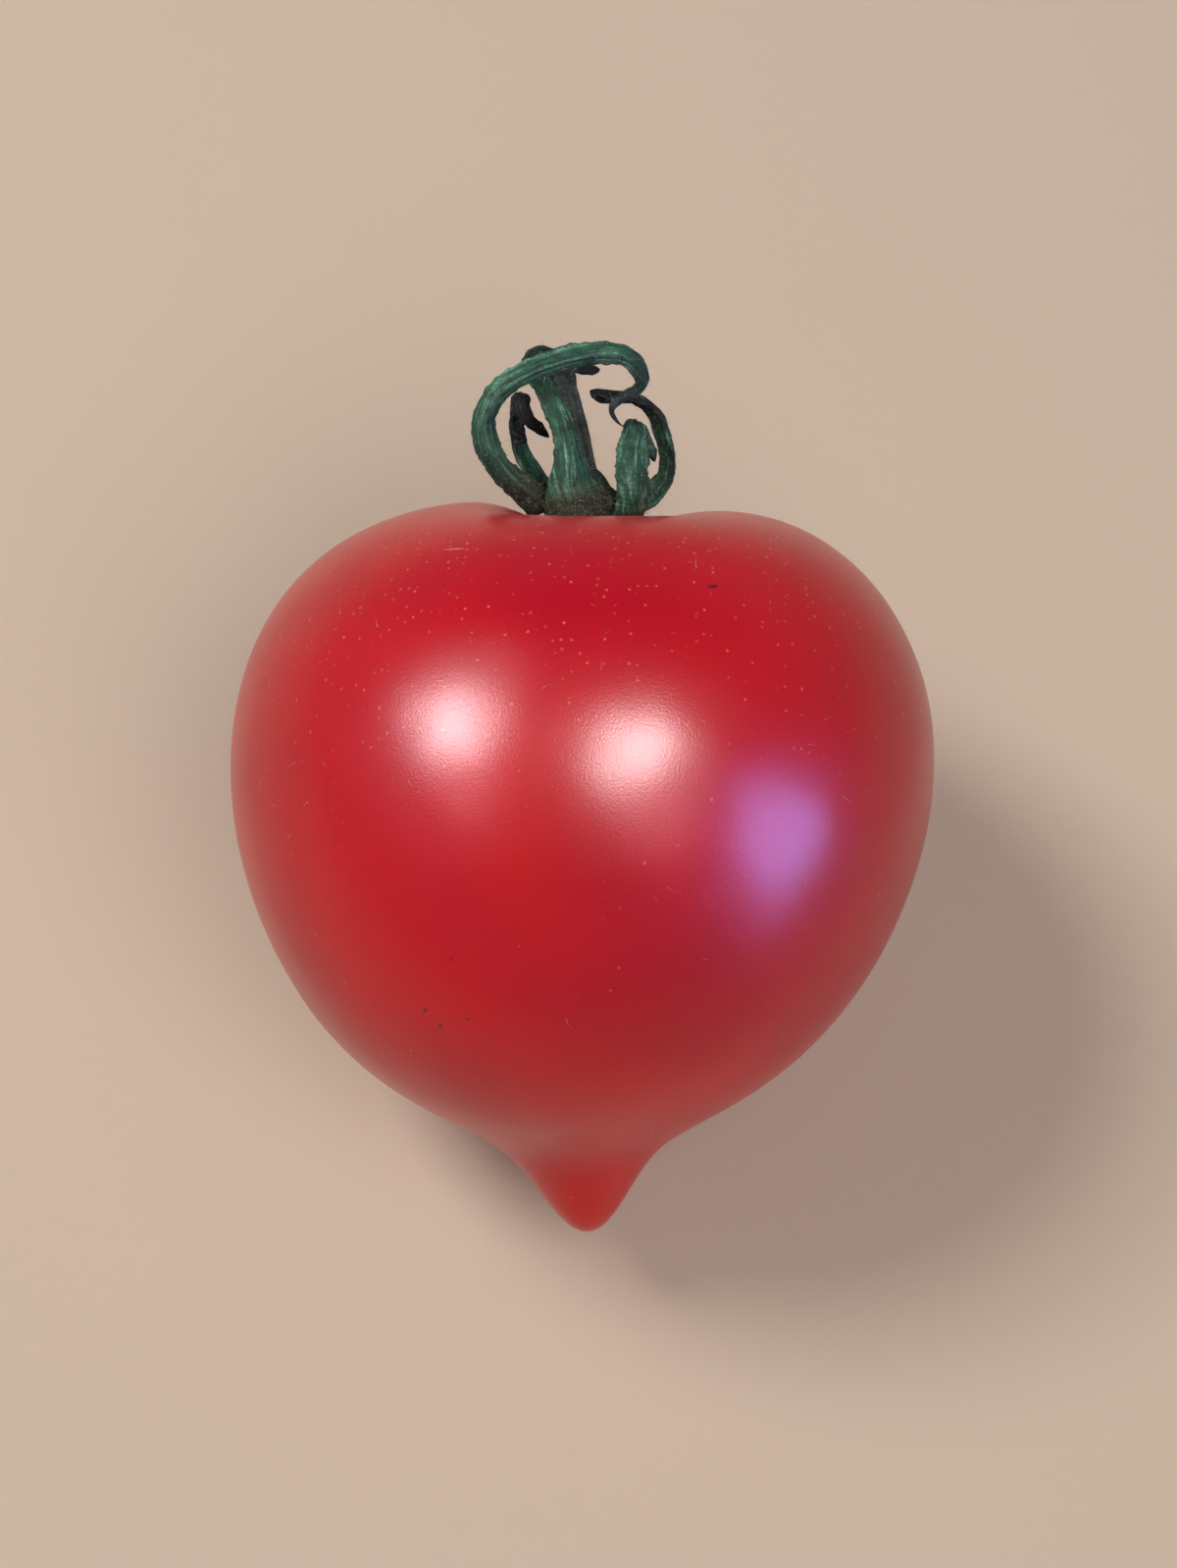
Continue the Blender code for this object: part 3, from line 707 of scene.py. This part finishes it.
def makeLeafGreen(name, ground, shineColour):
    # Drying leaf: matt and ribbed under a short pale down, blue-green where it is still fresh, with
    #  painted highlights in pale streaks along the blade, speckled brown towards its foot, nearly
    #  black where it has shrivelled, and painted shade in the sunken parts of its crinkles and at the
    #  stem's ends.
    green, tree, shader = startMaterial(name)
    place = addNode(tree, "ShaderNodeTexCoord").outputs["Object"]
    marks = {label: addNode(tree, "ShaderNodeAttribute", attribute_name=label).outputs["Fac"]
             for label in ("along", "drynessAndShade", "crease")}
    grain = addNode(tree, "ShaderNodeAttribute", attribute_name="grain").outputs["Vector"]
    mottle = addNode(tree, "ShaderNodeTexNoise",
                     {"Vector": place, "Scale": 1 / (calyxLook["mottle"] * mm), "Detail": 5.0,
                      "Roughness": 0.65})
    speckle = addNode(tree, "ShaderNodeTexNoise",
                      {"Vector": place, "Scale": 1 / (calyxLook["speckle"] * mm), "Detail": 3.0})
    streak = addNode(tree, "ShaderNodeTexNoise",
                     {"Vector": grain, "Scale": 5.0, "Detail": 4.0, "Roughness": 0.6})

    # painted highlights: pale streaks running along the blade, broken up by the speckle
    fine = addNode(tree, "ShaderNodeMapRange",
                   {"Value": streak, "From Min": 0.50, "From Max": 0.66, "To Max": 1.0})
    shineBreakup = addNode(tree, "ShaderNodeMapRange",
                     {"Value": speckle, "From Min": 0.35, "From Max": 0.6, "To Min": 0.25})
    shineShare = addNode(tree, "ShaderNodeMath", {0: fine, 1: shineBreakup}, operation="MULTIPLY")
    colour = addNode(tree, "ShaderNodeMix",
                     {"Factor": shineShare, "A": hexToLinear(ground), "B": hexToLinear(shineColour)},
                     data_type="RGBA")

    # the foot: speckled brown, thinning out up the blade
    foot = addNode(tree, "ShaderNodeMapRange",
                   {"Value": marks["along"], "From Min": 0.24, "From Max": 0.02, "To Min": -0.35,
                    "To Max": 0.45}, clamp=False)
    speck = addNode(tree, "ShaderNodeMath", {0: speckle, 1: foot}, operation="ADD")
    footShare = addNode(tree, "ShaderNodeMapRange",
                        {"Value": speck, "From Min": 0.52, "From Max": 0.66, "To Max": 0.9})
    grit = addNode(tree, "ShaderNodeMapRange",
                   {"Value": speckle, "From Min": 0.52, "From Max": 0.68})
    brown = addNode(tree, "ShaderNodeMix", {"Factor": grit, "A": hexToLinear(calyxLook["brown"]),
                                            "B": hexToLinear(calyxLook["rust"])}, data_type="RGBA")
    colour = addNode(tree, "ShaderNodeMix", {"Factor": footShare, "A": colour.outputs["Result"],
                                             "B": brown.outputs["Result"]}, data_type="RGBA")
    # darkened where dried, and on the stem's foot and top as painted shade
    deep = addNode(tree, "ShaderNodeMapRange",
                   {"Value": mottle, "From Min": 0.35, "From Max": 0.65, "To Min": -0.1,
                    "To Max": 0.40})
    dark = addNode(tree, "ShaderNodeMath", {0: marks["drynessAndShade"], 1: deep}, operation="ADD",
                   use_clamp=True)
    colour = addNode(tree, "ShaderNodeMix",
                     {"Factor": dark, "A": colour.outputs["Result"],
                      "B": hexToLinear(calyxLook["shade"])}, data_type="RGBA")
    # painted shade: the sunken parts of the crinkles are darkened towards the shade colour
    hollow = addNode(tree, "ShaderNodeMapRange",
                     {"Value": marks["crease"], "From Min": 0.48, "From Max": 0.34, "To Max": 0.55})
    colour = addNode(tree, "ShaderNodeMix",
                     {"Factor": hollow, "A": colour.outputs["Result"],
                      "B": hexToLinear(calyxLook["shade"])}, data_type="RGBA")
    tree.links.new(colour.outputs["Result"], shader.inputs["Base Color"])

    height = addNode(tree, "ShaderNodeMath", {0: streak, 1: speckle}, operation="ADD")
    bump = addNode(tree, "ShaderNodeBump",
                   {"Height": height, "Strength": 0.8, "Distance": 0.07 * mm})
    tree.links.new(bump.outputs[0], shader.inputs["Normal"])
    rough = addNode(tree, "ShaderNodeMapRange", {"Value": mottle, "To Min": 0.55, "To Max": 0.85})
    tree.links.new(rough.outputs[0], shader.inputs["Roughness"])
    shader.inputs["IOR"].default_value = 1.42
    shader.inputs["Specular IOR Level"].default_value = 0.25
    shader.inputs["Sheen Weight"].default_value = 0.03
    shader.inputs["Sheen Roughness"].default_value = 0.5
    shader.inputs["Sheen Tint"].default_value = hexToLinear(calyxLook["bloom"])
    return green


leafGreen = makeLeafGreen("drying_sepal", calyxLook["leaf"], calyxLook["paintedShine"])
stalkGreen = makeLeafGreen("downy_stalk", calyxLook["stalk"], calyxLook["stalkPaintedShine"])
blades = bladeTree()
calyxMeshes = []
for number, (name, plan) in enumerate({"stem": stemPlan, **sepalPlans}.items()):
    growth = {**plan.get("growth", bladeGrowth), "Seed": 7.3 * number,
              "Material": stalkGreen if name == "stem" else leafGreen}
    mesh = growMesh(name + "_grown", makeSpine(name, plan, growth["Rows"]), blades, growth)
    mesh.transform(calyxFrame)
    closeFaces(mesh)
    calyxMeshes.append(mesh)
    addPiece(name + "_grown", mesh, "green_stem" if name == "stem" else "green_sepal", name)


downLook = {
    "dark": "#4f6b5a",
    "pale": "#b4c6b6",
    "patch": 1.5,  # mm
}

downPlan = {
    "Density": 10.0e6,  # hairs per square metre, 10 per square mm
    "Length": 0.34 * mm,
    "Thickness": 0.0075 * mm,  # radius at the root
    "Bend": 0.10 * mm,
    "Spread": 0.8,
    "Uprightness": 1.0,  # how nearly upright they stand
    "Lowest slope": -2.0,  # anywhere, the underside too
    "Seed": 4,
}

lintPlan = {
    "Density": 0.09e6,
    "Length": 0.50 * mm,
    "Thickness": 0.011 * mm,
    "Lowest slope": -0.2,  # the side away from the floor
    "Bend": 0.30 * mm,
    "Spread": 0.6,
    "Uprightness": 0.25,
    "Seed": 11,
}


def hairTree():
    number = "NodeSocketFloat"
    tree, given = startTree("growHairs",
                            {"Density": number, "Length": number, "Thickness": number,
                             "Bend": number, "Spread": number, "Seed": "NodeSocketInt",
                             "Uprightness": number, "Lowest slope": number,
                             "Material": "NodeSocketMaterial"})
    facing = addNode(tree, "ShaderNodeSeparateXYZ",
                     {0: addNode(tree, "GeometryNodeInputNormal")}).outputs["Z"]
    upper = addNode(tree, "ShaderNodeMath", {0: facing, 1: given["Lowest slope"]},
                    operation="GREATER_THAN")
    spots = addNode(tree, "GeometryNodeDistributePointsOnFaces",
                    {"Mesh": given["Geometry"], "Selection": upper, "Density": given["Density"],
                     "Seed": given["Seed"]})
    hair = addNode(tree, "GeometryNodeMeshCone",
                   {"Vertices": 3, "Side Segments": 3, "Radius Top": 0.0,
                    "Radius Bottom": given["Thickness"], "Depth": given["Length"]})
    place = addNode(tree, "GeometryNodeInputPosition")
    up = addNode(tree, "ShaderNodeSeparateXYZ", {0: place}).outputs["Z"]
    share = addNode(tree, "ShaderNodeMath", {0: up, 1: given["Length"]}, operation="DIVIDE")
    curve = addNode(tree, "ShaderNodeMath", {0: share, 1: share}, operation="MULTIPLY")
    lean = addNode(tree, "ShaderNodeMath", {0: curve, 1: given["Bend"]}, operation="MULTIPLY")
    offset = addNode(tree, "ShaderNodeCombineXYZ", {"X": lean})
    bent = addNode(tree, "GeometryNodeSetPosition",
                   {"Geometry": hair.outputs["Mesh"], "Offset": offset})

    # each stands off the surface at its own slant
    low = addNode(tree, "ShaderNodeVectorMath", {0: (-1.0, -1.0, -1.0), "Scale": given["Spread"]},
                  operation="SCALE")
    high = addNode(tree, "ShaderNodeVectorMath", {0: (1.0, 1.0, 1.0), "Scale": given["Spread"]},
                   operation="SCALE")
    jitter = addNode(tree, "FunctionNodeRandomValue",
                     {"Min": low, "Max": high, "Seed": given["Seed"]}, data_type="FLOAT_VECTOR")
    normal = addNode(tree, "ShaderNodeVectorMath",
                     {0: spots.outputs["Normal"], "Scale": given["Uprightness"]}, operation="SCALE")
    aim = addNode(tree, "ShaderNodeVectorMath", {0: normal, 1: jitter}, operation="ADD")
    turned = addNode(tree, "FunctionNodeAlignRotationToVector", {"Vector": aim}, axis="Z")
    # inputs 2 and 3 are the least and most of a plain number: the hair's own size
    size = addNode(tree, "FunctionNodeRandomValue", {2: 0.45, 3: 1.25, "Seed": 3},
                   data_type="FLOAT")
    hairs = addNode(tree, "GeometryNodeInstanceOnPoints",
                    {"Points": spots.outputs["Points"], "Instance": bent, "Rotation": turned,
                     "Scale": size.outputs[1]})
    endTree(tree, hairs, given)
    return tree


def makeDown():
    # Plant hair: clear when single, so a thin one only shows as a pale glint
    down, tree, shader = startMaterial("pale_down")
    place = addNode(tree, "ShaderNodeTexCoord").outputs["Object"]
    tone = addNode(tree, "ShaderNodeTexNoise",
                   {"Vector": place, "Scale": 1 / (downLook["patch"] * mm), "Detail": 2.0})
    colour = addNode(tree, "ShaderNodeMix",
                     {"Factor": tone, "A": hexToLinear(downLook["dark"]),
                      "B": hexToLinear(downLook["pale"])}, data_type="RGBA")
    tree.links.new(colour.outputs["Result"], shader.inputs["Base Color"])
    shader.inputs["Roughness"].default_value = 0.5
    return down


def joined(meshes):
    whole = bmesh.new()
    for mesh in meshes:
        whole.from_mesh(mesh)
    result = bpy.data.meshes.new("ground")
    whole.to_mesh(result)
    whole.free()
    return result


hairs = hairTree()
paleDown = makeDown()
downMesh = growMesh("calyx_down", joined(calyxMeshes), hairs, {**downPlan, "Material": paleDown})
addPiece("calyx_down", downMesh, "green_sepal")
lintMesh = growMesh("skin_hairs", joined([fruitMesh]), hairs, {**lintPlan, "Material": paleDown})
addPiece("skin_hairs", lintMesh, "green_sepal")


stagePlan = {
    "floor": "#cdbeae",
    "walls": "#ddd8dc",
    "ceiling": "#8f8b90",
    "airStrength": 0.42,
    "aimHeight": 0.884,  # mm along the fruit's axis from its heart
    "aimSide": 0.25,  # mm
    "elevation": 68.0,  # degrees
    "distance": 0.150,  # metres
    "lens": 67.6,
    "floorHalf": 1.5,  # metres
}


def makeFloor():
    paint, tree, shader = startMaterial("pale_backdrop_paper")
    shader.inputs["Base Color"].default_value = hexToLinear(stagePlan["floor"])
    shader.inputs["Roughness"].default_value = 1.0
    shader.inputs["Specular IOR Level"].default_value = 0.05
    sheet = bpy.data.meshes.new("studio_floor")
    half = stagePlan["floorHalf"]
    sheet.from_pydata([(-half, -half, 0), (half, -half, 0), (half, half, 0), (-half, half, 0)], [],
                      [(0, 1, 2, 3)])
    sheet.materials.append(paint)
    floor = bpy.data.objects.new("studio_floor", sheet)
    bpy.context.scene.collection.objects.link(floor)


def addLamp(name, toward, distance, width, height, power, colour, lights=True, shines=True):
    # an area lamp that looks at the fruit from the given direction
    lamp = bpy.data.lights.new(name, "AREA")
    lamp.shape = "ELLIPSE"
    lamp.size = width
    lamp.size_y = height
    lamp.energy = power
    lamp.color = hexToLinear(colour)[:3]
    holder = bpy.data.objects.new(name, lamp)
    bpy.context.scene.collection.objects.link(holder)
    aim = Vector(toward).normalized()
    holder.location = heart + aim * distance
    holder.rotation_mode = "QUATERNION"
    holder.rotation_quaternion = aim.to_track_quat("Z", "Y")
    holder.visible_diffuse = lights
    holder.visible_glossy = shines


makeFloor()
# a soft key and a wide fill give the form and the shadow; the others only show as shines in the wax
addLamp("key", (-0.50, 0.26, 0.82), 0.45, 0.16, 0.16, 1.15, "#fff8f0", shines=False)
addLamp("fill", (0.25, -0.40, 0.88), 0.60, 0.45, 0.45, 1.75, "#fff6f0", shines=False)
addLamp("shine_left", (-0.64, -0.06, 0.767), 0.45, 0.20, 0.16, 3.1, "#fff4f8", lights=False)
addLamp("shine_right", (0.281, -0.274, 0.920), 0.45, 0.20, 0.16, 3.2, "#fff4f4", lights=False)
addLamp("glow_left", (-0.56, -0.45, 0.70), 0.45, 0.16, 0.16, 0.28, "#ffb8c4", lights=False)
addLamp("glow_right", (0.42, -0.56, 0.71), 0.45, 0.16, 0.18, 0.34, "#ffb8c8", lights=False)
addLamp("shine_cool", (0.89, -0.45, 0.18), 0.40, 0.18, 0.32, 2.5, "#7f9cff", lights=False)

# pale walls under a dimmer ceiling
world = bpy.data.worlds.new("studio_air")
bpy.context.scene.world = world
world.use_nodes = True
airTree = world.node_tree
upward = addNode(airTree, "ShaderNodeSeparateXYZ",
                 {0: addNode(airTree, "ShaderNodeTexCoord").outputs["Generated"]})
ceiling = addNode(airTree, "ShaderNodeMapRange",
                  {"Value": upward.outputs["Z"], "From Min": 0.15, "From Max": 0.75},
                  interpolation_type="SMOOTHSTEP")
air = addNode(airTree, "ShaderNodeMix",
              {"Factor": ceiling, "A": hexToLinear(stagePlan["walls"]),
               "B": hexToLinear(stagePlan["ceiling"])}, data_type="RGBA")
airTree.links.new(air.outputs["Result"], airTree.nodes["Background"].inputs["Color"])
airTree.nodes["Background"].inputs["Strength"].default_value = stagePlan["airStrength"]

eye = bpy.data.cameras.new("main_camera")
eye.sensor_width = 36.0
eye.lens = stagePlan["lens"]
eye.clip_start = 0.005
camera = bpy.data.objects.new("main_camera", eye)
bpy.context.scene.collection.objects.link(camera)
slope = math.radians(stagePlan["elevation"])
back = Vector((0, -math.cos(slope), math.sin(slope)))
target = fruitFrame @ Vector((stagePlan["aimSide"], stagePlan["aimHeight"], 0))
camera.location = target + back * stagePlan["distance"]
camera.rotation_mode = "QUATERNION"
camera.rotation_quaternion = back.to_track_quat("Z", "Y")
bpy.context.scene.camera = camera
bpy.context.scene.view_settings.view_transform = "Standard"
print("stage set")
